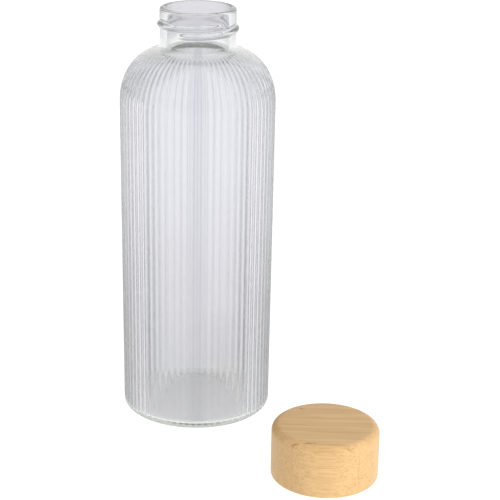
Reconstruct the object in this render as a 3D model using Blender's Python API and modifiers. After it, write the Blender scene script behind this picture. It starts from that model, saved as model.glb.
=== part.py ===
"""Ribbed glass water bottle, open, with its bamboo screw lid standing upright beside it.

Four separate pieces: the blown glass bottle, and a lid made of a turned bamboo shell, a threaded
plastic insert and a flat silicone seal. The origin is under the middle of the whole group, on the
surface that both stand on, and +Z is up.
"""
from math import atan2, cos, hypot, radians, sin, tau

import bmesh
import bpy

MM = 0.001

# Glass body
BOTTLE_HEIGHT = 220.3 * MM
BASE_RADIUS = 40.0 * MM             # just above the heel
SHOULDER_RADIUS = 40.8 * MM         # the body widens slightly from heel to shoulder
HEEL_RADIUS = 3.5 * MM
SHOULDER_START = 170.4 * MM         # height where the straight side ends
SHOULDER_RISE = 29.1 * MM
SHOULDER_POLE_RADIUS = 14.2 * MM    # where the shoulder's curve would level off, inside the neck
SHOULDER_POWER = 2.18               # a superellipse, slightly squarer than a quarter ellipse
BASE_THICKNESS = 2.6 * MM
REST_RING_WIDTH = 5.5 * MM
PUSH_UP = 1.2 * MM                  # the base is hollowed underneath, inside the flat resting ring
PUSH_UP_CURVE = ((1.0, 0.0), (0.93, 0.55), (0.6, 0.9), (0.0, 1.0))  # shares of its radius and rise
WALL = 2.7 * MM
INNER_HEEL_RADIUS = 2.0 * MM
FLOOR_CROWN = 0.5 * MM              # the inside floor's middle stands this much above its edge

# Ribs
RIB_COUNT = 72
RIB_DEPTH = 0.4 * MM
RIB_END_RADIUS = 22.5 * MM          # the ribs run out here, just outside the neck's foot
RIB_FULL_RADIUS = 25.0 * MM

# Neck and its screw thread
NECK_RADIUS = 19.95 * MM
MOUTH_RADIUS = 16.1 * MM
NECK_FOOT_FILLET = 2.4 * MM
INNER_FOOT_FILLET = 6.0 * MM
FOOT_END_ANGLE = 255                # where the foot's fillet meets the sloping shoulder, in degrees
RIM_OUTER_FILLET = 1.6 * MM
RIM_INNER_FILLET = 1.5 * MM
THREAD_PITCH = 4.2 * MM
THREAD_HEIGHT = 1.35 * MM
THREAD_SECTION = 1.6 * MM           # radius of the ridge's round section
THREAD_START_DEPTH = 12.2 * MM      # its lower end, below the rim
THREAD_START_ANGLE = -125
THREAD_SWEEP = 440
THREAD_RUN_OUT = 30                 # the ridge sinks into the wall over this many degrees
THREAD_END_SIZE = 0.45              # its section there, as a share of the full one
THREAD_END_SINK = 0.2               # and how far its crest is below the wall, in ridge heights

# Lid
LID_OFFSET_X = 64.8 * MM            # from the bottle's axis to the lid's
LID_OFFSET_Y = -89.9 * MM
CAP_RADIUS = 27.15 * MM
CAP_HEIGHT = 28.0 * MM
CAP_TOP_FILLET = 4.0 * MM
CAP_RIM_FILLET = 2.0 * MM
CAP_BORE_RADIUS = 23.4 * MM
CAP_BORE_DEPTH = 23.5 * MM
CAP_BORE_CHAMFER = 0.6 * MM
GAP = 0.3 * MM                      # glue or running gap between touching pieces

# Threaded insert
LINER_RADIUS = CAP_BORE_RADIUS - GAP
LINER_BORE_RADIUS = 21.7 * MM
LINER_ROOF = 1.6 * MM
LINER_RECESS = 0.6 * MM             # its lower edge stays above the bamboo rim
LINER_EDGE_CHAMFER = 0.3 * MM
LINER_THREAD_HEIGHT = 1.05 * MM
LINER_THREAD_SECTION = 1.1 * MM
LINER_THREAD_START = 4.6 * MM
LINER_THREAD_SWEEP = 450
SEAL_BEAD_HEIGHT = 0.75 * MM        # a bead round the bore keeps the seal in place
SEAL_BEAD_WIDTH = 1.0 * MM
SEAL_BEAD_SLOPE = 0.35 * MM

# Seal
SEAL_OUTER_RADIUS = 21.2 * MM
SEAL_INNER_RADIUS = 15.5 * MM
SEAL_THICKNESS = 1.8 * MM
SEAL_CHAMFER = 0.3 * MM

# Facets round each turned shape
RIBBED_STEPS = 2 * RIB_COUNT        # one on each crest and one in each groove
CAVITY_STEPS = RIB_COUNT
LID_STEPS = 48
THREAD_STATION = 7.5                # degrees between the helix's points

# Both axes, placed so that the origin is under the middle of the group
GROUP_X = SHOULDER_RADIUS + LID_OFFSET_X + CAP_RADIUS
GROUP_Y = SHOULDER_RADIUS - LID_OFFSET_Y + CAP_RADIUS
BOTTLE_AXIS = (SHOULDER_RADIUS - GROUP_X / 2, GROUP_Y / 2 - SHOULDER_RADIUS, 0.0)
LID_AXIS = (BOTTLE_AXIS[0] + LID_OFFSET_X, BOTTLE_AXIS[1] + LID_OFFSET_Y, 0.0)


def clear_scene():
    for old in list(bpy.data.objects):
        bpy.data.objects.remove(old, do_unlink=True)


def new_collection(name):
    made = bpy.data.collections.new(name)
    bpy.context.scene.collection.children.link(made)
    return made


def new_material(name, colour, roughness, transmission=0.0):
    made = bpy.data.materials.new(name)
    made.use_nodes = True
    shader = made.node_tree.nodes["Principled BSDF"]
    shader.inputs["Base Color"].default_value = (*colour, 1.0)
    shader.inputs["Roughness"].default_value = roughness
    shader.inputs["Transmission Weight"].default_value = transmission
    return made


def smooth_step(low, high, value):
    t = min(max((value - low) / (high - low), 0.0), 1.0)
    return t * t * (3 - 2 * t)


def arc(centre_r, centre_z, radius, start, end, segments):
    """Points of a circular arc in the profile plane, with angles in degrees from +X."""
    points = []
    for i in range(segments + 1):
        angle = radians(start + (end - start) * i / segments)
        points.append((centre_r + radius * cos(angle), centre_z + radius * sin(angle)))
    return points


def shoulder_curve(max_radius, pole_radius, rise, first_radius, segments):
    """A superellipse from the neck's foot down to the top of the straight side."""
    span = max_radius - pole_radius
    first = ((first_radius - pole_radius) / span) ** (SHOULDER_POWER / 2)
    first_angle = atan2((1 - first * first) ** 0.5, first)
    points = []
    for i in range(segments + 1):
        angle = first_angle * (1 - i / segments)
        radius = pole_radius + span * cos(angle) ** (2 / SHOULDER_POWER)
        height = SHOULDER_START + rise * sin(angle) ** (2 / SHOULDER_POWER)
        points.append((radius, height))
    return points


def outer_profile():
    """The bottle's outside, from the middle of the mouth down to the middle of the base."""
    top = BOTTLE_HEIGHT
    rim = arc(NECK_RADIUS - RIM_OUTER_FILLET, top - RIM_OUTER_FILLET, RIM_OUTER_FILLET, 90, 0, 3)
    foot_radius = NECK_RADIUS + NECK_FOOT_FILLET
    shoulder = shoulder_curve(SHOULDER_RADIUS, SHOULDER_POLE_RADIUS, SHOULDER_RISE, foot_radius, 8)
    foot = arc(foot_radius, shoulder[0][1] + NECK_FOOT_FILLET, NECK_FOOT_FILLET,
               180, FOOT_END_ANGLE, 3)
    heel = arc(BASE_RADIUS - HEEL_RADIUS, HEEL_RADIUS, HEEL_RADIUS, 0, -90, 4)
    ring = BASE_RADIUS - HEEL_RADIUS - REST_RING_WIDTH
    under = [(share * ring, rise * PUSH_UP) for share, rise in PUSH_UP_CURVE]
    return [(0.0, top)] + rim + foot + shoulder[1:] + heel + under


def cavity_profile():
    """The inside of the bottle, running out past the rim."""
    top = BOTTLE_HEIGHT
    lip = arc(MOUTH_RADIUS + RIM_INNER_FILLET, top - RIM_INNER_FILLET, RIM_INNER_FILLET, 90, 180, 3)
    above = [(0.0, top + WALL), (MOUTH_RADIUS + RIM_INNER_FILLET, top + WALL)]
    foot_radius = MOUTH_RADIUS + INNER_FOOT_FILLET
    shoulder = shoulder_curve(SHOULDER_RADIUS - WALL, SHOULDER_POLE_RADIUS - WALL,
                              SHOULDER_RISE - WALL, foot_radius, 7)
    foot = arc(foot_radius, shoulder[0][1] + INNER_FOOT_FILLET, INNER_FOOT_FILLET,
               180, FOOT_END_ANGLE, 3)
    floor_edge = BASE_RADIUS - WALL - INNER_HEEL_RADIUS
    heel = arc(floor_edge, BASE_THICKNESS + INNER_HEEL_RADIUS, INNER_HEEL_RADIUS, 0, -90, 4)
    floor = [(share * floor_edge, BASE_THICKNESS + FLOOR_CROWN * (1 - share * share))
             for share in (0.5, 0.0)]
    return above + lip + foot + shoulder[1:] + heel + floor


def turned(name, profile, steps, axis, collection, closed=False):
    """A profile in the XZ plane, turned round +Z by a Screw modifier."""
    count = len(profile)
    edges = [(i, i + 1) for i in range(count - 1)]
    if closed:
        edges.append((count - 1, 0))
    mesh = bpy.data.meshes.new(name)
    mesh.from_pydata([(r, 0.0, z) for r, z in profile], edges, [])
    made = bpy.data.objects.new(name, mesh)
    made.location = axis
    collection.objects.link(made)
    screw = made.modifiers.new("turn", "SCREW")
    screw.angle = tau
    screw.steps = steps
    screw.render_steps = steps
    screw.use_merge_vertices = True
    screw.merge_threshold = 1e-6
    screw.use_smooth_shade = True
    return made


def baked(source):
    """The same object as a plain mesh, with its modifiers or its curve bevel applied."""
    bpy.context.view_layer.update()
    evaluated = source.evaluated_get(bpy.context.evaluated_depsgraph_get())
    mesh = bpy.data.meshes.new_from_object(evaluated)
    name = source.name
    matrix = source.matrix_world.copy()
    collection = source.users_collection[0]
    bpy.data.objects.remove(source, do_unlink=True)
    made = bpy.data.objects.new(name, mesh)
    made.matrix_world = matrix
    collection.objects.link(made)
    return made


def boolean(target, operation, other):
    modifier = target.modifiers.new(operation.lower(), "BOOLEAN")
    modifier.operation = operation
    modifier.solver = "EXACT"
    modifier.object = other


def as_guide(guide):
    guide.hide_render = True
    guide.display_type = "WIRE"


def finish(part, material, sharp_angle=35):
    """Gives the piece its material and smooth shading with crisp edges."""
    part.data.materials.clear()
    part.data.materials.append(material)
    if part.data.polygons:
        part.data.shade_smooth()
        part.data.set_sharp_from_angle(angle=radians(sharp_angle))


def groove_profile(crest):
    """The bottle's outside along the bottom of a groove between two ribs."""
    points = []
    for i, (r, z) in enumerate(crest):
        before = crest[max(i - 1, 0)]
        after = crest[min(i + 1, len(crest) - 1)]
        along = (after[0] - before[0], after[1] - before[1])
        length = hypot(*along)
        depth = RIB_DEPTH * r / BASE_RADIUS
        depth *= smooth_step(RIB_END_RADIUS, RIB_FULL_RADIUS, r)
        depth *= smooth_step(0.0, HEEL_RADIUS, z)
        points.append((r + depth * along[1] / length, z - depth * along[0] / length))
    return points


def cut_grooves(body, crest):
    """Moves every second column of the turned outside to the bottom of a groove."""
    groove = groove_profile(crest)
    for vertex in body.data.vertices:
        radius = hypot(vertex.co.x, vertex.co.y)
        angle = atan2(vertex.co.y, vertex.co.x)
        column = round(angle / tau * RIBBED_STEPS)
        if column % 2 == 0:
            continue
        nearest = min(range(len(crest)),
                      key=lambda i: hypot(crest[i][0] - radius, crest[i][1] - vertex.co.z))
        new_radius, vertex.co.z = groove[nearest]
        vertex.co.x = new_radius * cos(angle)
        vertex.co.y = new_radius * sin(angle)


def thread_ridge(name, wall_radius, outward, height, section, start, sweep, start_z, axis, guides):
    """A round helical ridge on a wall; outward is +1 outside a neck and -1 inside a bore."""
    stations = round(sweep / THREAD_STATION)
    curve = bpy.data.curves.new(name, "CURVE")
    curve.dimensions = "3D"
    curve.bevel_depth = section
    curve.bevel_resolution = 2
    curve.use_fill_caps = True
    spline = curve.splines.new("POLY")
    spline.points.add(stations)
    for i, point in enumerate(spline.points):
        turn = sweep * i / stations
        size = smooth_step(0, THREAD_RUN_OUT, min(turn, sweep - turn))
        tube = section * (THREAD_END_SIZE + (1 - THREAD_END_SIZE) * size)
        crest = height * ((1 + THREAD_END_SINK) * size - THREAD_END_SINK)
        radius = wall_radius + outward * (crest - tube)
        angle = radians(start + turn)
        height_here = start_z + THREAD_PITCH * turn / 360
        point.co = (radius * cos(angle), radius * sin(angle), height_here, 1.0)
        point.radius = tube / section
    made = bpy.data.objects.new(name, curve)
    made.location = axis
    guides.objects.link(made)
    made = baked(made)
    shape = bmesh.new()
    shape.from_mesh(made.data)
    bmesh.ops.remove_doubles(shape, verts=shape.verts, dist=1e-6)
    bmesh.ops.recalc_face_normals(shape, faces=shape.faces)
    shape.to_mesh(made.data)
    shape.free()
    as_guide(made)
    return made


def glass_bottle(parts, guides):
    crest = outer_profile()
    body = baked(turned("glass_bottle", crest, RIBBED_STEPS, BOTTLE_AXIS, parts))
    cut_grooves(body, crest)
    ridge = thread_ridge("neck_thread_guide", NECK_RADIUS, 1, THREAD_HEIGHT, THREAD_SECTION,
                         THREAD_START_ANGLE, THREAD_SWEEP, BOTTLE_HEIGHT - THREAD_START_DEPTH,
                         BOTTLE_AXIS, guides)
    boolean(body, "UNION", ridge)
    cavity = turned("cavity_cutter", cavity_profile(), CAVITY_STEPS, BOTTLE_AXIS, guides)
    as_guide(cavity)
    boolean(body, "DIFFERENCE", cavity)
    finish(body, new_material("clear_glass", (0.93, 0.96, 0.95), 0.02, transmission=1.0))


def bamboo_cap(parts):
    top = arc(CAP_RADIUS - CAP_TOP_FILLET, CAP_HEIGHT - CAP_TOP_FILLET, CAP_TOP_FILLET, 90, 0, 5)
    rim = arc(CAP_RADIUS - CAP_RIM_FILLET, CAP_RIM_FILLET, CAP_RIM_FILLET, 0, -90, 2)
    bore = [(CAP_BORE_RADIUS + CAP_BORE_CHAMFER, 0.0), (CAP_BORE_RADIUS, CAP_BORE_CHAMFER),
            (CAP_BORE_RADIUS, CAP_BORE_DEPTH), (0.0, CAP_BORE_DEPTH)]
    cap = turned("bamboo_cap", [(0.0, CAP_HEIGHT)] + top + rim + bore, LID_STEPS, LID_AXIS, parts)
    finish(cap, new_material("bamboo", (0.78, 0.58, 0.36), 0.5))


def thread_liner(parts, guides):
    top = CAP_BORE_DEPTH - GAP
    roof = top - LINER_ROOF
    bottom = LINER_RECESS
    edge = LINER_EDGE_CHAMFER
    bead_top = roof - GAP - SEAL_THICKNESS - GAP
    bead_radius = LINER_BORE_RADIUS - SEAL_BEAD_HEIGHT
    profile = [(0.0, top), (LINER_RADIUS - edge, top), (LINER_RADIUS, top - edge),
               (LINER_RADIUS, bottom + edge), (LINER_RADIUS - edge, bottom),
               (LINER_BORE_RADIUS + edge, bottom), (LINER_BORE_RADIUS, bottom + edge),
               (LINER_BORE_RADIUS, bead_top - SEAL_BEAD_WIDTH),
               (bead_radius, bead_top - SEAL_BEAD_WIDTH + SEAL_BEAD_SLOPE),
               (bead_radius, bead_top - SEAL_BEAD_SLOPE),
               (LINER_BORE_RADIUS, bead_top), (LINER_BORE_RADIUS, roof), (0.0, roof)]
    liner = turned("thread_liner", profile, LID_STEPS, LID_AXIS, parts)
    ridge = thread_ridge("liner_thread_guide", LINER_BORE_RADIUS, -1, LINER_THREAD_HEIGHT,
                         LINER_THREAD_SECTION, 0, LINER_THREAD_SWEEP, LINER_THREAD_START,
                         LID_AXIS, guides)
    boolean(liner, "UNION", ridge)
    finish(liner, new_material("white_plastic", (0.88, 0.88, 0.85), 0.4))


def seal_ring(parts):
    top = CAP_BORE_DEPTH - GAP - LINER_ROOF - GAP
    bottom = top - SEAL_THICKNESS
    edge = SEAL_CHAMFER
    profile = [(SEAL_OUTER_RADIUS - edge, top), (SEAL_OUTER_RADIUS, top - edge),
               (SEAL_OUTER_RADIUS, bottom + edge), (SEAL_OUTER_RADIUS - edge, bottom),
               (SEAL_INNER_RADIUS + edge, bottom), (SEAL_INNER_RADIUS, bottom + edge),
               (SEAL_INNER_RADIUS, top - edge), (SEAL_INNER_RADIUS + edge, top)]
    seal = turned("seal_ring", profile, LID_STEPS, LID_AXIS, parts, closed=True)
    finish(seal, new_material("silicone", (0.9, 0.9, 0.87), 0.55))


def main():
    clear_scene()
    parts = new_collection("glass_water_bottle")
    guides = new_collection("cutters")
    glass_bottle(parts, guides)
    bamboo_cap(parts)
    thread_liner(parts, guides)
    seal_ring(parts)


main()
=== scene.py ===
"""Looks of the ribbed glass water bottle and its bamboo screw lid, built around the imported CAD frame."""
from math import cos, pi, radians, sin, tau

import bpy
import numpy as np
from mathutils import Matrix, Vector


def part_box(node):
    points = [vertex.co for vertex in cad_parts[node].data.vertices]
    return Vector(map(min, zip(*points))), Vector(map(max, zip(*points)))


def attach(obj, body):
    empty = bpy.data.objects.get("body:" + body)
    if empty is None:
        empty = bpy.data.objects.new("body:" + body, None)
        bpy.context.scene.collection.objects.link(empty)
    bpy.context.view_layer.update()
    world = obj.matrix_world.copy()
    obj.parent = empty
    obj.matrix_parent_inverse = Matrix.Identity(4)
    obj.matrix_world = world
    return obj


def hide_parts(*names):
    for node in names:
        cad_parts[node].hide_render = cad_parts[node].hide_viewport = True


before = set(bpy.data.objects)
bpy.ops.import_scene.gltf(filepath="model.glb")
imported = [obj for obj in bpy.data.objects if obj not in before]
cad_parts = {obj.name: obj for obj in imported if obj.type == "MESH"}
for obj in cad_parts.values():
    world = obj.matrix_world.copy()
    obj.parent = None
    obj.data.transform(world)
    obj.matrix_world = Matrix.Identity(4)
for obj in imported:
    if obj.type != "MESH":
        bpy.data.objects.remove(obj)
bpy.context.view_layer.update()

MM = 0.001
SAME_RADIUS = 1e-6                  # tolerances in metres
ON_AXIS = 1e-9
NO_LENGTH = 1e-12

# Places and main sizes from the frame
bottle_low, bottle_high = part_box("glass_bottle")
cap_low, cap_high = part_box("bamboo_cap")
liner_low, liner_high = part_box("thread_liner")
seal_low, seal_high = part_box("seal_ring")
BOTTLE_AXIS = Vector(((bottle_low.x + bottle_high.x) / 2, (bottle_low.y + bottle_high.y) / 2, 0))
LID_AXIS = Vector(((cap_low.x + cap_high.x) / 2, (cap_low.y + cap_high.y) / 2, 0))
BOTTLE_HEIGHT = bottle_high.z
SHOULDER_RADIUS = (bottle_high.x - bottle_low.x) / 2
CAP_RADIUS = (cap_high.x - cap_low.x) / 2
CAP_HEIGHT = cap_high.z
LINER_RADIUS = (liner_high.x - liner_low.x) / 2
SEAL_RADIUS = (seal_high.x - seal_low.x) / 2

# Glass, as the CAD has it
BASE_RADIUS = SHOULDER_RADIUS - 0.8 * MM
HEEL_RADIUS = 3.5 * MM
SHOULDER_START = 170.4 * MM
SHOULDER_RISE = 29.1 * MM
SHOULDER_POLE_RADIUS = 14.2 * MM
SHOULDER_POWER = 2.18
BASE_THICKNESS = 2.6 * MM
PUSH_UP = 1.2 * MM
PUSH_UP_POWER = 2.4                 # how flat the push-up is in its middle
FLOOR_CROWN = 0.4 * PUSH_UP
REST_RING_WIDTH = 5.5 * MM
WALL = 2.7 * MM
INNER_HEEL_RADIUS = 2.0 * MM
NECK_RADIUS = 19.95 * MM
MOUTH_RADIUS = 16.1 * MM
NECK_FOOT_FILLET = 2.4 * MM
INNER_FOOT_FILLET = 6.0 * MM
FOOT_END_ANGLE = 255                # where the fillets at the neck's foot end, in degrees
RIM_OUTER_FILLET = 1.6 * MM
RIM_INNER_FILLET = 1.5 * MM

# Ribs, fading out between two radii near the neck
RIB_COUNT = 72
RIB_COLUMNS = 10                    # mesh columns in each rib
RIB_DEPTH = 0.4 * MM
RIB_SOFTNESS = 0.3                  # how rounded the groove between two ribs is
INNER_RIPPLE = 0.10 * MM            # the ribs' faint echo on the inside
RIB_END_RADIUS = 21.8 * MM
RIB_FULL_RADIUS = 24.0 * MM

# Thread on the neck, its depths measured down from the rim and its angles in degrees
THREAD_PITCH = 4.2 * MM
THREAD_HEIGHT = 1.35 * MM
THREAD_HALF_WIDTH = 1.7 * MM
THREAD_CREST_POWER = 1.4            # how narrow the ridge's crest is
THREAD_START_DEPTH = 12.2 * MM
THREAD_START_ANGLE = -125
THREAD_SWEEP = 440
THREAD_RUN_OUT = 30
THREAD_ZONE_TOP = 4.2 * MM          # the fine mesh rows for the thread lie between these two depths
THREAD_ZONE_FOOT = 14.6 * MM

# Lid: bamboo shell, plastic insert and seal
LID_COLUMNS = 240
CAP_TOP_FILLET = 4.0 * MM
CAP_RIM_FILLET = 2.0 * MM
CAP_BORE_RADIUS = 23.4 * MM
CAP_BORE_DEPTH = 23.5 * MM
CAP_BORE_CHAMFER = 0.6 * MM
CAP_SHARP_ANGLE = 40
LINER_BORE_RADIUS = 21.7 * MM
LINER_ROOF = 1.6 * MM
LINER_EDGE = 0.35 * MM
LINER_THREAD_HEIGHT = 1.05 * MM
LINER_THREAD_HALF_WIDTH = 1.2 * MM
LINER_THREAD_START = 4.6 * MM
LINER_THREAD_SWEEP = 450
LINER_SHARP_ANGLE = 50
SEAL_BEAD_HEIGHT = 0.75 * MM
SEAL_BEAD_WIDTH = 1.0 * MM
LINER_THREAD_ZONE_GAP = 2.2 * SEAL_BEAD_WIDTH   # from the bead's top down to the thread's mesh rows
SEAL_BEAD_SLOPE = 0.2 * MM
SEAL_BEAD_GAP = 0.3 * MM
SEAL_INNER_RADIUS = 15.5 * MM
SEAL_EDGE = 0.45 * MM

# Camera, as seen from the bottle's axis
CAMERA_DISTANCE = 805.4 * MM
CAMERA_HEIGHT = 375.4 * MM
CAMERA_PITCH = 19.62
CAMERA_YAW = 2.033
CAMERA_ROLL = 0.946
SENSOR = 36.0
FOCAL_LENGTH = 113.9

# Glass: tints in its different places, several of them painted shade and painted light
# Painted shade: the tint darkens from the upper one to the lower one towards the bottom of the bottle.
GLASS_UPPER = (0.85, 0.85, 0.88, 1)
GLASS_LOWER_PAINTED_SHADE = (0.77, 0.77, 0.79, 1)
# Painted shade: the back of the neck is tinted darker than its front.
GLASS_NECK_FRONT = (0.82, 0.825, 0.84, 1)
GLASS_NECK_BACK_PAINTED_SHADE = (0.65, 0.64, 0.68, 1)
# Painted light: the middle of the base is left almost untinted, so it shows brighter than the walls.
GLASS_BASE_PAINTED_LIGHT = (1.0, 1.0, 0.985, 1)
# Painted shade at the front of the neck's foot and painted light at its back, which is left untinted.
GLASS_FOOT_FRONT_PAINTED_SHADE = (0.76, 0.775, 0.77, 1)
GLASS_FOOT_BACK_PAINTED_LIGHT = (1.0, 1.0, 0.97, 1)
GLASS_HEEL = (0.71, 0.78, 0.67, 1)
# Painted shade: the darker tint laid into the rib grooves and down the front and the back.
GLASS_PAINTED_SHADE = (0.60, 0.60, 0.64, 1)
# Painted shade: the glass darkens towards its edges, most of all low down.
GLASS_GRAZING_SHADE_UPPER = (0.31, 0.315, 0.325, 1)
GLASS_GRAZING_SHADE_LOWER = (0.12, 0.122, 0.125, 1)
GLASS_BODY = (0.66, 0.72, 0.60, 1)
GLASS_DENSITY = 4.5
GLASS_IOR = 1.5

# Glass: where each tint lies, as heights, radii or places from front to back
LOWER_TO_UPPER = (20 * MM, 150 * MM)
GRAZING_LOWER_TO_UPPER = (30 * MM, 150 * MM)
OUTER_FACE = (SHOULDER_RADIUS - 2.0 * MM, SHOULDER_RADIUS - 1.6 * MM)
SHOULDER_LINES = (178 * MM, 188 * MM)
NECK_FOOT_TINT = (193 * MM, 196 * MM)
NECK_TINT = (200 * MM, 206 * MM)
FRONT_TO_BACK = (-8 * MM, 8 * MM)
BASE_MIDDLE = (BASE_RADIUS - WALL - INNER_HEEL_RADIUS, BASE_RADIUS - WALL)
BASE_TINT = (BASE_THICKNESS + 0.4 * MM, BASE_THICKNESS + INNER_HEEL_RADIUS)
HEEL_TINT = (0.5 * BASE_THICKNESS, 1.3 * BASE_THICKNESS)
BELOW_NECK_FOOT = (187 * MM, 193 * MM)

# Glass: how strong each painted shade is, and where it lies
GROOVE_WAVE = (-1.0, -0.2)          # part of the ribs' wave, from -1 to 1, that counts as groove
GROOVE_SHADE_SHARE = 0.38
SHOULDER_GROOVE_SHADE_SHARE = 0.4           # of the grooves' painted shade
FRONT_BACK_SHADE_WAVE = (0.05, 0.14)            # half width of the painted shade line down the front and the back
FRONT_BACK_SHADE_SHARE = 0.36
GRAZING_FACING = (0.25, 0.80)       # from square on, 0, to edge on, 1
GRAZING_BODY = 0.9
GRAZING_NECK_FOOT = 0.2
GRAZING_NECK = 0.6

# Glass: surface; scales are in waves per metre along x, y and z
GLASS_WAVES = (55, 55, 22)
GLASS_WAVE_DEPTH = 0.6 * MM
GLASS_WAVE_STRENGTH = 0.12
GLASS_SMUDGES = (90, 90, 60)
GLASS_SMUDGE_RANGE = (0.35, 0.75)
GLASS_ROUGHNESS = (0.05, 0.09)
RIB_EXTRA_ROUGHNESS = (0.05, 0.14)  # added on the ribs, from square on to edge on

# Bamboo: strips glued side by side, the fibres' turn from +X, tones, and the flecks of the stem's nodes
STRIP_WIDTH = 7.8 * MM
STRIP_SHIFT = 0.77
STRIP_SWAY = 0.8 * MM
STRIP_OFFSET = 0.7                  # how far one strip's grain may be shifted along it, in metres
GLUE_LINE = (0.01, 0.035)           # half width of the line between two strips, in strip widths
FIBRE_ANGLE = 3.6
BAMBOO_PALE = (0.68, 0.442, 0.205, 1)
BAMBOO_DEEP = (0.53, 0.32, 0.125, 1)
BAMBOO_FIBRE = (0.38, 0.205, 0.066, 1)
BAMBOO_NODE = (0.27, 0.115, 0.03, 1)
NODE_FLECKS = (                     # place along and across the fibres, half length, half width
    (-16.5 * MM, -21.8 * MM, 4.0 * MM, 1.6 * MM),
    (11.5 * MM, -23.6 * MM, 3.6 * MM, 1.5 * MM),
    (-8.0 * MM, -22.2 * MM, 4.5 * MM, 1.0 * MM),
    (-12.0 * MM, 16.5 * MM, 2.4 * MM, 1.2 * MM),
)
FLECK_HEIGHTS = (CAP_HEIGHT - CAP_TOP_FILLET, CAP_HEIGHT - 1.5 * MM)
SWAY_SCALE = (14, 30, 30)           # scales along the fibres, across them and upwards
BROAD_SCALE = (9, 330, 330)
FINE_SCALE = (22, 1300, 1700)
BUNDLE_SCALE = (45, 1350, 1350)
SPECKLE_SCALE = (850, 1100, 1100)
BROAD_RANGE = (0.3, 0.75)           # parts of each pattern's values that show
FINE_RANGE = (0.45, 0.7)
BUNDLE_DOTS = (0.14, 0.42)
END_GRAIN_SLOPE = (0.35, 0.95)
FLECK_EDGE = (0.2, 1.0)
SPECKLE_RANGE = (0.46, 0.58)
BROAD_SHARE = 0.4                   # how strongly each layer colours the wood
STRIP_SHARE = 0.2
FINE_SHARE = 0.42
BUNDLE_SHARE = 0.28
END_GRAIN_SHARE = 0.22
GLUE_SHARE = 0.22
FLECK_SHARE = 0.6
ROUGHNESS_RANGE = (0.3, 0.75)
BAMBOO_ROUGHNESS = (0.42, 0.6)
LACQUER_WEIGHT = 0.22
LACQUER_ROUGHNESS = 0.35
BAMBOO_SPECULAR = 0.35
BAMBOO_RELIEF = 0.1 * MM
BAMBOO_RELIEF_STRENGTH = 0.3
GLUE_RELIEF = 0.6                   # depth of the glue line beside the grain's

# Plastic and silicone: the part of their noise that shows
MOULDED_RANGE = (0.3, 0.7)

# Soft boxes, one on either side of the camera
BOX_ANGLE = 46
BOX_DISTANCE = 1.3
BOX_WIDTH = 0.7
BOX_HEIGHT = 1.0
BOX_MIDDLE = 0.55
BOX_AIM = 0.1
RIGHT_BOX = 5.5                     # radiance
LEFT_BOX = 0.1

# The soft light all round
SKY_STRENGTH = (1.02, 0.8)          # at the horizon and overhead
SKY_LEFT = 0.78                     # and the left side's share of it
SKY_RISE = (0.1, 0.9)
SKY_SIDE = (-0.9, 0.3)

# The floor, with its own glow
FLOOR_SIZE = 12.0
FLOOR_CELLS = 8
FLOOR_TONES = ((0.14, 0.14, 0.14, 1), (0.16, 0.16, 0.16, 1))
FLOOR_SCALE = (40, 40, 40)
FLOOR_GLOW = 1.0
FLOOR_ROUGHNESS = 0.7
FLOOR_SPECULAR = 0.2

# Light paths: the long ones by total reflection in the base need more bounces than usual
MAX_BOUNCES = 32
GLASS_BOUNCES = 24


# ---------------------------------------------------------------- mesh helpers

def smooth_step(low, high, value):
    """0 below low, 1 above high, and a smooth rise between them."""
    t = np.clip((value - low) / (high - low), 0.0, 1.0)
    return t * t * (3 - 2 * t)


def arc(centre_r, centre_z, radius, start, end, segments):
    """Points on an arc from the start angle to the end angle, both included."""
    angles = np.radians(np.linspace(start, end, segments + 1))
    return [(centre_r + radius * cos(a), centre_z + radius * sin(a)) for a in angles]


def line(start, end, segments):
    """Evenly spaced points from start to end, without the first one."""
    shares = np.linspace(0, 1, segments + 1)[1:]
    return [(start[0] + t * (end[0] - start[0]), start[1] + t * (end[1] - start[1])) for t in shares]


def shoulder_curve(max_radius, pole_radius, rise, first_radius, segments):
    """The superellipse from the neck's foot down to the top of the straight side."""
    span = max_radius - pole_radius
    first = np.arccos(((first_radius - pole_radius) / span) ** (SHOULDER_POWER / 2))
    points = []
    for angle in np.linspace(first, 0, segments + 1):
        radius = pole_radius + span * cos(angle) ** (2 / SHOULDER_POWER)
        height = SHOULDER_START + rise * abs(sin(angle)) ** (2 / SHOULDER_POWER)
        points.append((radius, height))
    return points


def turned_mesh(name, profile, columns, axis, offsets=None, closed=False):
    """A fine turned surface. offsets moves each row and column along the profile's normal."""
    points = np.array(profile)
    rows = len(points)
    ahead = np.roll(points, -1, axis=0) if closed else np.vstack([points[1:], points[-1]])
    behind = np.roll(points, 1, axis=0) if closed else np.vstack([points[0], points[:-1]])
    along = ahead - behind
    along /= np.maximum(np.linalg.norm(along, axis=1, keepdims=True), NO_LENGTH)
    normals = np.stack([-along[:, 1], along[:, 0]], axis=1)
    angles = np.arange(columns) * tau / columns
    if offsets is None:
        offsets = np.zeros((rows, columns))
    radii = points[:, :1] + normals[:, :1] * offsets
    heights = points[:, 1:] + normals[:, 1:] * offsets
    vertices = []
    index = []
    for i in range(rows):
        if points[i, 0] < ON_AXIS:
            index.append(np.full(columns, len(vertices)))
            vertices.append((0.0, 0.0, points[i, 1]))
            continue
        index.append(np.arange(columns) + len(vertices))
        vertices.extend(zip(radii[i] * np.cos(angles), radii[i] * np.sin(angles), heights[i]))
    faces = []
    for i in range(rows if closed else rows - 1):
        upper, lower = index[i], index[(i + 1) % rows]
        for j in range(columns):
            k = (j + 1) % columns
            corners = (upper[j], lower[j], lower[k], upper[k])
            faces.append(tuple(int(c) for c in dict.fromkeys(corners)))
    mesh = bpy.data.meshes.new(name)
    mesh.from_pydata(vertices, [], faces)
    mesh.shade_smooth()
    made = bpy.data.objects.new(name, mesh)
    made.location = axis
    bpy.context.scene.collection.objects.link(made)
    return made


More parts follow.
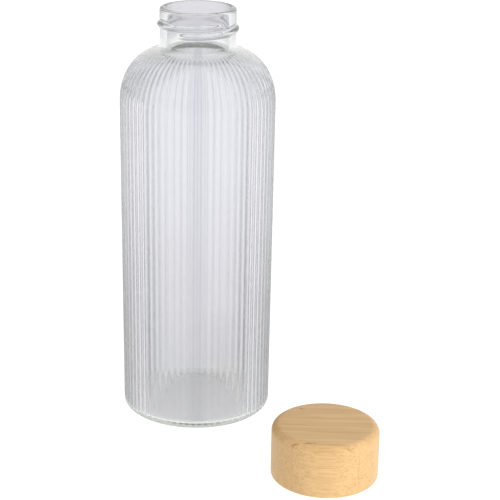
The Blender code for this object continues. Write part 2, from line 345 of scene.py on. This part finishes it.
def thread_bump(angles, heights, start_z, start_angle, sweep, half_width, run_out):
    """How far up a helical ridge each point is, from 0 beside it to 1 on its crest."""
    bump = np.zeros((len(heights), len(angles)))
    for lap in range(int(sweep // 360) + 1):
        turn = np.mod(np.degrees(angles) - start_angle, 360) + 360 * lap
        centre = start_z + THREAD_PITCH * turn / 360
        across = (heights[:, None] - centre[None, :]) / half_width
        section = np.clip(1 - across ** 2, 0, 1) ** THREAD_CREST_POWER
        size = smooth_step(0, run_out, np.minimum(turn, sweep - turn))
        bump = np.maximum(bump, section * size[None, :])
    return bump


# ---------------------------------------------------------------- material helpers

class Nodes:
    """Adds linked nodes to a material's or the world's tree with one short call each."""

    def __init__(self, owner, shader="Principled BSDF"):
        owner.use_nodes = True
        self.owner = owner
        self.tree = owner.node_tree
        self.shader = self.tree.nodes[shader]

    def add(self, kind, settings=None, **inputs):
        made = self.tree.nodes.new(kind)
        for key, value in (settings or {}).items():
            setattr(made, key, value)
        for key, value in inputs.items():
            self.feed(made, key.replace("_", " "), value)
        return made

    def feed(self, made, key, value):
        """Links a socket to the input, or sets the input to a value. The key is its name or its number."""
        socket = made.inputs[int(key)] if key.isdigit() else made.inputs[key]
        if isinstance(value, bpy.types.NodeSocket):
            self.tree.links.new(value, socket)
        else:
            socket.default_value = value

    def shader_value(self, key, value):
        """A value that is the same all over the surface."""
        self.shader.inputs[key].default_value = value

    def coordinates(self, kind="Object"):
        return self.add("ShaderNodeTexCoord").outputs[kind]

    def separate(self, vector):
        return self.add("ShaderNodeSeparateXYZ", Vector=vector).outputs

    def math(self, operation, first, second=0.0):
        made = self.add("ShaderNodeMath", {"operation": operation})
        self.feed(made, "0", first)
        self.feed(made, "1", second)
        return made.outputs[0]

    def mix(self, share, first, second):
        """A mix of two colours, by the colour sockets of the Mix node."""
        made = self.add("ShaderNodeMix", {"data_type": "RGBA"})
        self.feed(made, "0", share)
        self.feed(made, "6", first)
        self.feed(made, "7", second)
        return made.outputs[2]

    def lay(self, colour, mask, strength, over):
        """The colour with another laid over it where the mask is."""
        return self.mix(self.math("MULTIPLY", mask, strength), colour, over)

    def spread(self, value, span, new_span=(0.0, 1.0)):
        """The value taken smoothly from one span to another, and held at its ends."""
        made = self.add("ShaderNodeMapRange", {"interpolation_type": "SMOOTHSTEP"}, Value=value)
        ends = ("From Min", "From Max", "To Min", "To Max")
        for end, number in zip(ends, (*span, *new_span)):
            made.inputs[end].default_value = number
        return made.outputs[0]

    def fall(self, value, span):
        """1 below the span and 0 above it."""
        return self.spread(value, span, (1.0, 0.0))

    def sum_of_squares(self, first, second):
        return self.math("ADD", self.math("POWER", first, 2.0), self.math("POWER", second, 2.0))

    def stretched(self, vector, scale):
        """The vector with each of its parts multiplied by its own scale."""
        made = self.add("ShaderNodeVectorMath", {"operation": "MULTIPLY"})
        self.feed(made, "0", vector)
        self.feed(made, "1", scale)
        return made.outputs[0]

    def noise(self, vector, scale, detail=2.0, roughness=0.5):
        made = self.add("ShaderNodeTexNoise", Vector=self.stretched(vector, scale), Scale=1.0,
                        Detail=detail, Roughness=roughness)
        return made.outputs[0]

    def bump(self, height, strength, distance):
        made = self.add("ShaderNodeBump", Height=height, Strength=strength, Distance=distance)
        self.feed(self.shader, "Normal", made.outputs[0])


def glass_tint(n, x, y, z, away, on_outside, facing):
    """The glass's tint, with painted shade and painted light laid in by height, by groove, from front to
    back on the neck and its foot, in the base, and by grazing angle.
    """
    turn = n.math("ARCTAN2", y, x)
    # Painted shade: darker towards the bottom.
    tint = n.mix(n.fall(z, LOWER_TO_UPPER), GLASS_UPPER, GLASS_LOWER_PAINTED_SHADE)
    to_back = n.spread(y, FRONT_TO_BACK)
    # Painted shade at the front of the neck's foot, painted light at its back.
    foot = n.mix(to_back, GLASS_FOOT_FRONT_PAINTED_SHADE, GLASS_FOOT_BACK_PAINTED_LIGHT)
    tint = n.mix(n.spread(z, NECK_FOOT_TINT), tint, foot)

    # Painted shade in the rib grooves: on the outside, and above the shoulder on the inside too.
    wave = n.math("COSINE", n.math("MULTIPLY", turn, float(RIB_COUNT)))
    lined = n.math("MAXIMUM", on_outside, n.spread(z, SHOULDER_LINES, (0.0, SHOULDER_GROOVE_SHADE_SHARE)))
    groove = n.math("MULTIPLY", n.fall(wave, GROOVE_WAVE), lined)
    tint = n.lay(tint, groove, GROOVE_SHADE_SHARE, GLASS_PAINTED_SHADE)
    # Painted shade: a soft dark line down the front and the back.
    front_back_shade = n.fall(n.math("ABSOLUTE", n.math("COSINE", turn)), FRONT_BACK_SHADE_WAVE)
    tint = n.lay(tint, front_back_shade, FRONT_BACK_SHADE_SHARE, GLASS_PAINTED_SHADE)

    on_neck = n.spread(z, NECK_TINT)
    # Painted shade on the neck, from the front's tint to the darker back's.
    tint = n.mix(on_neck, tint, n.mix(to_back, GLASS_NECK_FRONT, GLASS_NECK_BACK_PAINTED_SHADE))
    middle = n.fall(away, BASE_MIDDLE)
    # Painted light: the middle of the base almost untinted.
    tint = n.mix(n.math("MULTIPLY", n.fall(z, BASE_TINT), middle), tint, GLASS_BASE_PAINTED_LIGHT)
    heel = n.math("SUBTRACT", n.fall(z, HEEL_TINT), middle)
    tint = n.mix(n.math("MAXIMUM", heel, 0.0), tint, GLASS_HEEL)

    # Painted shade towards the edges by grazing angle: strong on the body, weak at the neck's foot,
    # middling on the neck.
    below_foot = n.spread(z, BELOW_NECK_FOOT, (GRAZING_BODY, GRAZING_NECK_FOOT))
    strength = n.math("MAXIMUM", below_foot, n.math("MULTIPLY", on_neck, GRAZING_NECK))
    grazing = n.math("MULTIPLY", n.spread(facing, GRAZING_FACING), strength)
    grazing_shade = n.mix(n.spread(z, GRAZING_LOWER_TO_UPPER), GLASS_GRAZING_SHADE_LOWER, GLASS_GRAZING_SHADE_UPPER)
    return n.mix(grazing, tint, grazing_shade)


def glass_material():
    """Clear glass with a tint that holds painted shade and painted light, soft waves, a slightly rougher
    ribbed outside, and a faint body colour.
    """
    n = Nodes(bpy.data.materials.new("ribbed_clear_glass"))
    n.shader_value("IOR", GLASS_IOR)
    n.shader_value("Transmission Weight", 1.0)
    where = n.coordinates()
    x, y, z = n.separate(where)
    away = n.math("SQRT", n.sum_of_squares(x, y))
    on_outside = n.spread(away, OUTER_FACE)

    # On the ribs the facing is that of a plain cylinder, so that it does not change from rib to rib
    outward = n.add("ShaderNodeCombineXYZ", X=n.math("DIVIDE", x, away), Y=n.math("DIVIDE", y, away))
    unribbed = n.add("ShaderNodeLayerWeight", Blend=0.5, Normal=outward.outputs[0]).outputs["Facing"]
    facing = n.add("ShaderNodeLayerWeight", Blend=0.5).outputs["Facing"]
    facing = n.mix(on_outside, facing, unribbed)
    n.feed(n.shader, "Base Color", glass_tint(n, x, y, z, away, on_outside, facing))

    n.bump(n.noise(where, GLASS_WAVES, detail=1.5), GLASS_WAVE_STRENGTH, GLASS_WAVE_DEPTH)
    smudges = n.spread(n.noise(where, GLASS_SMUDGES, detail=3.0), GLASS_SMUDGE_RANGE, GLASS_ROUGHNESS)
    ribbed = n.math("MULTIPLY", on_outside, n.spread(facing, GRAZING_FACING, RIB_EXTRA_ROUGHNESS))
    n.feed(n.shader, "Roughness", n.math("ADD", smudges, ribbed))
    body = n.add("ShaderNodeVolumeAbsorption")
    body.inputs["Color"].default_value = GLASS_BODY
    body.inputs["Density"].default_value = GLASS_DENSITY
    n.feed(n.tree.nodes["Material Output"], "Volume", body.outputs[0])
    return n.owner


def bamboo_material():
    """Laminated bamboo: glued strips, fibres, end-grain dots and node flecks under a thin satin lacquer."""
    n = Nodes(bpy.data.materials.new("lacquered_bamboo"))
    turned = n.add("ShaderNodeMapping", Vector=n.coordinates())
    turned.inputs["Rotation"].default_value = (0, 0, radians(FIBRE_ANGLE))
    turned = turned.outputs[0]
    along, across, height = n.separate(turned)
    sway = n.math("SUBTRACT", n.noise(turned, SWAY_SCALE, detail=1.0), 0.5)
    swayed = n.math("ADD", across, n.math("MULTIPLY", sway, STRIP_SWAY))
    strip = n.math("ADD", n.math("DIVIDE", swayed, STRIP_WIDTH), STRIP_SHIFT)
    number = n.math("FLOOR", strip)
    inside = n.math("FRACT", strip)
    chance = n.add("ShaderNodeTexWhiteNoise", {"noise_dimensions": "1D"}, W=number).outputs[0]
    shifted = n.math("ADD", along, n.math("MULTIPLY", chance, STRIP_OFFSET))
    grain_at = n.add("ShaderNodeCombineXYZ", X=shifted, Y=swayed, Z=height).outputs[0]

    broad = n.noise(grain_at, BROAD_SCALE)
    fine = n.noise(grain_at, FINE_SCALE, detail=3.0, roughness=0.6)
    bundles = n.add("ShaderNodeTexVoronoi", {"feature": "F1"}, Scale=1.0, Randomness=1.0,
                    Vector=n.stretched(grain_at, BUNDLE_SCALE)).outputs[0]
    dots = n.fall(bundles, BUNDLE_DOTS)
    slope = n.separate(n.coordinates("Normal"))[0]
    end_grain = n.spread(n.math("ABSOLUTE", slope), END_GRAIN_SLOPE)
    glue = n.fall(n.math("MINIMUM", inside, n.math("SUBTRACT", 1.0, inside)), GLUE_LINE)

    colour = n.lay(BAMBOO_PALE, n.spread(broad, BROAD_RANGE), BROAD_SHARE, BAMBOO_DEEP)
    colour = n.lay(colour, chance, STRIP_SHARE, BAMBOO_DEEP)
    colour = n.lay(colour, n.spread(fine, FINE_RANGE), FINE_SHARE, BAMBOO_FIBRE)
    colour = n.lay(colour, dots, BUNDLE_SHARE, BAMBOO_FIBRE)
    colour = n.lay(colour, end_grain, END_GRAIN_SHARE, BAMBOO_DEEP)
    colour = n.lay(colour, glue, GLUE_SHARE, BAMBOO_FIBRE)

    speckle = n.noise(turned, SPECKLE_SCALE)
    for fleck_along, fleck_across, half_length, half_width in NODE_FLECKS:
        out_along = n.math("DIVIDE", n.math("SUBTRACT", along, fleck_along), half_length)
        out_across = n.math("DIVIDE", n.math("SUBTRACT", across, fleck_across), half_width)
        spot = n.fall(n.sum_of_squares(out_along, out_across), FLECK_EDGE)
        spot = n.math("MULTIPLY", spot, n.spread(height, FLECK_HEIGHTS))
        marked = n.math("MULTIPLY", spot, n.spread(speckle, SPECKLE_RANGE))
        colour = n.lay(colour, marked, FLECK_SHARE, BAMBOO_NODE)
    n.feed(n.shader, "Base Color", colour)

    n.feed(n.shader, "Roughness", n.spread(fine, ROUGHNESS_RANGE, BAMBOO_ROUGHNESS))
    n.shader_value("Specular IOR Level", BAMBOO_SPECULAR)
    n.shader_value("Coat Weight", LACQUER_WEIGHT)
    n.shader_value("Coat Roughness", LACQUER_ROUGHNESS)
    solid = n.math("SUBTRACT", 1.0, dots)
    relief = n.math("ADD", n.math("MULTIPLY", fine, 0.5), n.math("MULTIPLY", solid, 0.5))
    relief = n.math("SUBTRACT", relief, n.math("MULTIPLY", glue, GLUE_RELIEF))
    n.bump(relief, BAMBOO_RELIEF_STRENGTH, BAMBOO_RELIEF)
    return n.owner


def moulded_material(name, tones, cloud_scale, grain_scale, roughness, scatter, scatter_radius,
                     bump, depth):
    """A softly clouded moulded plastic or rubber with a fine surface grain."""
    n = Nodes(bpy.data.materials.new(name))
    where = n.coordinates()
    cloud = n.spread(n.noise(where, cloud_scale, detail=3.0), MOULDED_RANGE)
    n.feed(n.shader, "Base Color", n.mix(cloud, *tones))
    grain = n.noise(where, grain_scale)
    n.feed(n.shader, "Roughness", n.spread(grain, MOULDED_RANGE, roughness))
    n.shader_value("Subsurface Weight", scatter)
    n.shader_value("Subsurface Radius", scatter_radius)
    n.bump(grain, bump, depth)
    return n.owner


def liner_material():
    return moulded_material(
        "moulded_white_plastic", tones=((0.80, 0.80, 0.77, 1), (0.86, 0.86, 0.84, 1)),
        cloud_scale=(70, 70, 70), grain_scale=(2600, 2600, 2600), roughness=(0.34, 0.46),
        scatter=0.08, scatter_radius=(0.004, 0.004, 0.003), bump=0.15, depth=0.05 * MM)


def seal_material():
    return moulded_material(
        "white_silicone", tones=((0.74, 0.76, 0.75, 1), (0.82, 0.83, 0.82, 1)),
        cloud_scale=(120, 120, 120), grain_scale=(3500, 3500, 3500), roughness=(0.5, 0.68),
        scatter=0.2, scatter_radius=(0.003, 0.003, 0.003), bump=0.2, depth=0.04 * MM)


# ---------------------------------------------------------------- pieces

def glass_outside():
    """The outside from the rim's flat top down to the middle of the push-up."""
    top = BOTTLE_HEIGHT
    rim = arc(NECK_RADIUS - RIM_OUTER_FILLET, top - RIM_OUTER_FILLET, RIM_OUTER_FILLET, 90, 0, 6)
    foot_radius = NECK_RADIUS + NECK_FOOT_FILLET
    shoulder = shoulder_curve(SHOULDER_RADIUS, SHOULDER_POLE_RADIUS, SHOULDER_RISE, foot_radius, 22)
    foot = arc(foot_radius, shoulder[0][1] + NECK_FOOT_FILLET, NECK_FOOT_FILLET, 180, FOOT_END_ANGLE, 7)
    thread_top = (NECK_RADIUS, top - THREAD_ZONE_TOP)
    thread_foot = (NECK_RADIUS, top - THREAD_ZONE_FOOT)
    neck = line(rim[-1], thread_top, 2) + line(thread_top, thread_foot, 28) + line(thread_foot, foot[0], 3)
    heel = arc(BASE_RADIUS - HEEL_RADIUS, HEEL_RADIUS, HEEL_RADIUS, 0, -90, 8)
    side = line(shoulder[-1], heel[0], 5)
    ring = BASE_RADIUS - HEEL_RADIUS - REST_RING_WIDTH
    under = line(heel[-1], (ring, 0.0), 2)
    for share in np.linspace(0.97, 0.1, 8):
        under.append((ring * share, PUSH_UP * (1 - share ** PUSH_UP_POWER) ** 0.5))
    return rim + neck + foot[1:] + shoulder[1:] + side + heel[1:] + under + [(0.0, PUSH_UP)]


def glass_inside():
    """The inside from the middle of the floor up to the rim's flat top."""
    top = BOTTLE_HEIGHT
    lip = arc(MOUTH_RADIUS + RIM_INNER_FILLET, top - RIM_INNER_FILLET, RIM_INNER_FILLET, 90, 180, 5)
    foot_radius = MOUTH_RADIUS + INNER_FOOT_FILLET
    shoulder = shoulder_curve(SHOULDER_RADIUS - WALL, SHOULDER_POLE_RADIUS - WALL,
                              SHOULDER_RISE - WALL, foot_radius, 16)
    foot = arc(foot_radius, shoulder[0][1] + INNER_FOOT_FILLET, INNER_FOOT_FILLET, 180, FOOT_END_ANGLE, 7)
    inner = BASE_RADIUS - WALL
    heel = arc(inner - INNER_HEEL_RADIUS, BASE_THICKNESS + INNER_HEEL_RADIUS, INNER_HEEL_RADIUS, 0, -90, 8)
    floor = []
    for share in np.linspace(0.92, 0.12, 6):
        rise = FLOOR_CROWN * (1 - share ** 2)
        floor.append(((inner - INNER_HEEL_RADIUS) * share, BASE_THICKNESS + rise))
    floor.append((0.0, BASE_THICKNESS + FLOOR_CROWN))
    down = lip + line(lip[-1], foot[0], 3) + foot[1:] + shoulder[1:] + line(shoulder[-1], heel[0], 4)
    return (down + heel[1:] + floor)[::-1]


def ribbed_bottle():
    """The glass in one piece: inside and outside, rounded ribs, and the thread on the neck."""
    inside = glass_inside()
    profile = inside + glass_outside()
    points = np.array(profile)
    columns = RIB_COUNT * RIB_COLUMNS
    angles = np.arange(columns) * tau / columns
    radii, heights = points[:, 0], points[:, 1]
    outer = np.arange(len(profile)) >= len(inside)

    crest = np.abs(np.cos(RIB_COUNT * angles / 2))
    softened = np.sqrt(crest ** 2 + RIB_SOFTNESS ** 2) - RIB_SOFTNESS
    groove = 1 - softened / (np.sqrt(1 + RIB_SOFTNESS ** 2) - RIB_SOFTNESS)
    fade = smooth_step(RIB_END_RADIUS, RIB_FULL_RADIUS, radii) * radii / BASE_RADIUS
    depth = np.where(outer, RIB_DEPTH * smooth_step(0.0, HEEL_RADIUS, heights), 0.0)
    ripple = smooth_step(BASE_THICKNESS, BASE_THICKNESS + INNER_HEEL_RADIUS, heights)
    depth = np.where(outer, depth, -INNER_RIPPLE * ripple) * fade
    offsets = -depth[:, None] * groove[None, :]

    on_neck = outer & np.isclose(radii, NECK_RADIUS, rtol=0, atol=SAME_RADIUS)
    thread = thread_bump(angles, heights, BOTTLE_HEIGHT - THREAD_START_DEPTH, THREAD_START_ANGLE,
                         THREAD_SWEEP, THREAD_HALF_WIDTH, THREAD_RUN_OUT)
    offsets += THREAD_HEIGHT * thread * on_neck[:, None]
    bottle = turned_mesh("ribbed_glass_bottle", profile, columns, BOTTLE_AXIS, offsets)
    bottle.data.materials.append(glass_material())
    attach(bottle, "bottle")
    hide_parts("glass_bottle")


def bamboo_shell():
    """The lid's turned bamboo shell with its blind bore."""
    top = arc(CAP_RADIUS - CAP_TOP_FILLET, CAP_HEIGHT - CAP_TOP_FILLET, CAP_TOP_FILLET, 90, 0, 12)
    rim = arc(CAP_RADIUS - CAP_RIM_FILLET, CAP_RIM_FILLET, CAP_RIM_FILLET, 0, -90, 6)
    flat = [(top[0][0] * share, CAP_HEIGHT) for share in (0.0, 0.4, 0.8)]
    bore = [(CAP_BORE_RADIUS + CAP_BORE_CHAMFER, 0.0), (CAP_BORE_RADIUS, CAP_BORE_CHAMFER),
            (CAP_BORE_RADIUS, CAP_BORE_DEPTH), (0.0, CAP_BORE_DEPTH)]
    profile = flat + top + line(top[-1], rim[0], 4) + rim[1:] + bore
    shell = turned_mesh("bamboo_lid_shell", profile, LID_COLUMNS, LID_AXIS)
    shell.data.set_sharp_from_angle(angle=radians(CAP_SHARP_ANGLE))
    shell.data.materials.append(bamboo_material())
    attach(shell, "lid")
    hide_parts("bamboo_cap")


def threaded_insert():
    """The plastic insert with its inside thread and the bead that holds the seal."""
    top, bottom, edge = liner_high.z, liner_low.z, LINER_EDGE
    roof = top - LINER_ROOF
    bead_top = seal_low.z - SEAL_BEAD_GAP
    bead_radius = LINER_BORE_RADIUS - SEAL_BEAD_HEIGHT
    outside = [(0.0, top), (LINER_RADIUS - 2 * edge, top)]
    outside += arc(LINER_RADIUS - edge, top - edge, edge, 90, 0, 3)
    outside += arc(LINER_RADIUS - edge, bottom + edge, edge, 0, -90, 3)
    inside = arc(LINER_BORE_RADIUS + edge, bottom + edge, edge, -90, -180, 3)
    thread_end = (LINER_BORE_RADIUS, bead_top - LINER_THREAD_ZONE_GAP)
    inside += line(inside[-1], thread_end, 48)
    bead_radii = (LINER_BORE_RADIUS, bead_radius + SEAL_BEAD_SLOPE, bead_radius,
                  bead_radius + SEAL_BEAD_SLOPE, LINER_BORE_RADIUS)
    bead = [(radius, bead_top - share * SEAL_BEAD_WIDTH)
            for radius, share in zip(bead_radii, (1.0, 0.75, 0.5, 0.25, 0.0))]
    corner = arc(LINER_BORE_RADIUS - edge, roof - edge, edge, 0, 90, 3)
    profile = outside + inside + bead + corner + [(0.6 * LINER_BORE_RADIUS, roof), (0.0, roof)]
    points = np.array(profile)
    angles = np.arange(LID_COLUMNS) * tau / LID_COLUMNS
    rows = np.arange(len(profile))
    on_bore = np.isclose(points[:, 0], LINER_BORE_RADIUS, rtol=0, atol=SAME_RADIUS)
    in_bore = (rows >= len(outside)) & on_bore
    bump = thread_bump(angles, points[:, 1], LINER_THREAD_START, 0, LINER_THREAD_SWEEP,
                       LINER_THREAD_HALF_WIDTH, THREAD_RUN_OUT)
    offsets = LINER_THREAD_HEIGHT * bump * in_bore[:, None]
    insert = turned_mesh("threaded_insert", profile, LID_COLUMNS, LID_AXIS, offsets)
    insert.data.set_sharp_from_angle(angle=radians(LINER_SHARP_ANGLE))
    insert.data.materials.append(liner_material())
    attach(insert, "lid")
    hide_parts("thread_liner")


def silicone_seal():
    """The flat ring seal with rounded edges."""
    top, bottom, edge = seal_high.z, seal_low.z, SEAL_EDGE
    profile = arc(SEAL_RADIUS - edge, top - edge, edge, 90, 0, 4)
    profile += arc(SEAL_RADIUS - edge, bottom + edge, edge, 0, -90, 4)
    profile += arc(SEAL_INNER_RADIUS + edge, bottom + edge, edge, -90, -180, 4)
    profile += arc(SEAL_INNER_RADIUS + edge, top - edge, edge, 180, 90, 4)
    seal = turned_mesh("silicone_seal", profile, LID_COLUMNS, LID_AXIS, closed=True)
    seal.data.materials.append(seal_material())
    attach(seal, "seal")
    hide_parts("seal_ring")


# ---------------------------------------------------------------- studio

def camera():
    """The camera at the photo's viewing angle."""
    pitch, yaw, roll = radians(CAMERA_PITCH), radians(CAMERA_YAW), radians(CAMERA_ROLL)
    ahead = Vector((sin(yaw) * cos(pitch), cos(yaw) * cos(pitch), -sin(pitch)))
    level = Vector((cos(yaw), -sin(yaw), 0))
    above = level.cross(ahead)
    right = cos(roll) * level + sin(roll) * above
    up = cos(roll) * above - sin(roll) * level
    data = bpy.data.cameras.new("camera")
    data.sensor_width = SENSOR
    data.lens = FOCAL_LENGTH
    made = bpy.data.objects.new("camera", data)
    turn = Matrix((right, up, -ahead)).transposed().to_4x4()
    place = BOTTLE_AXIS + Vector((0, -CAMERA_DISTANCE, CAMERA_HEIGHT))
    made.matrix_world = Matrix.Translation(place) @ turn
    bpy.context.scene.collection.objects.link(made)
    bpy.context.scene.camera = made


def studio_floor():
    """A plain pale floor with an even glow of its own."""
    points = FLOOR_CELLS + 1
    steps = np.linspace(-FLOOR_SIZE / 2, FLOOR_SIZE / 2, points)
    vertices = [(x, y, 0.0) for y in steps for x in steps]
    corners = [j * points + i for j in range(FLOOR_CELLS) for i in range(FLOOR_CELLS)]
    faces = [(a, a + 1, a + points + 1, a + points) for a in corners]
    mesh = bpy.data.meshes.new("studio_floor")
    mesh.from_pydata(vertices, [], faces)
    made = bpy.data.objects.new("studio_floor", mesh)
    bpy.context.scene.collection.objects.link(made)
    n = Nodes(bpy.data.materials.new("pale_floor"))
    speckle = n.noise(n.coordinates(), FLOOR_SCALE, detail=3.0)
    n.feed(n.shader, "Base Color", n.mix(speckle, *FLOOR_TONES))
    n.shader_value("Emission Strength", FLOOR_GLOW)
    n.shader_value("Emission Color", (1, 1, 1, 1))
    n.shader_value("Roughness", FLOOR_ROUGHNESS)
    n.shader_value("Specular IOR Level", FLOOR_SPECULAR)
    mesh.materials.append(n.owner)


def soft_box(name, side, radiance):
    """An upright soft box beside the camera, turned to the object."""
    turn = radians(BOX_ANGLE) * side
    place = Vector((sin(turn), -cos(turn), 0)) * BOX_DISTANCE + Vector((0, 0, BOX_MIDDLE))
    data = bpy.data.lights.new(name, "AREA")
    data.shape = "RECTANGLE"
    data.size = BOX_WIDTH
    data.size_y = BOX_HEIGHT
    data.energy = radiance * pi * BOX_WIDTH * BOX_HEIGHT
    made = bpy.data.objects.new(name, data)
    made.location = place
    made.rotation_mode = "QUATERNION"
    made.rotation_quaternion = (Vector((0, 0, BOX_AIM)) - place).to_track_quat("-Z", "Y")
    made.visible_camera = False
    made.visible_glossy = False
    made.visible_transmission = False
    bpy.context.scene.collection.objects.link(made)


def studio():
    """Soft white surround, floor, soft boxes and the light paths' limits."""
    scene = bpy.context.scene
    n = Nodes(bpy.data.worlds.new("studio"), "Background")
    x, y, z = n.separate(n.coordinates("Generated"))
    upward = n.spread(z, SKY_RISE, SKY_STRENGTH)
    sideways = n.spread(x, SKY_SIDE, (SKY_LEFT, 1.0))
    n.feed(n.shader, "Strength", n.math("MULTIPLY", upward, sideways))
    n.shader_value("Color", (1, 1, 1, 1))
    scene.world = n.owner
    scene.view_settings.view_transform = "Standard"
    studio_floor()
    soft_box("right_box", 1, RIGHT_BOX)
    soft_box("left_box", -1, LEFT_BOX)
    scene.cycles.max_bounces = MAX_BOUNCES
    scene.cycles.glossy_bounces = GLASS_BOUNCES
    scene.cycles.transmission_bounces = GLASS_BOUNCES


camera()
studio()
ribbed_bottle()
bamboo_shell()
threaded_insert()
silicone_seal()
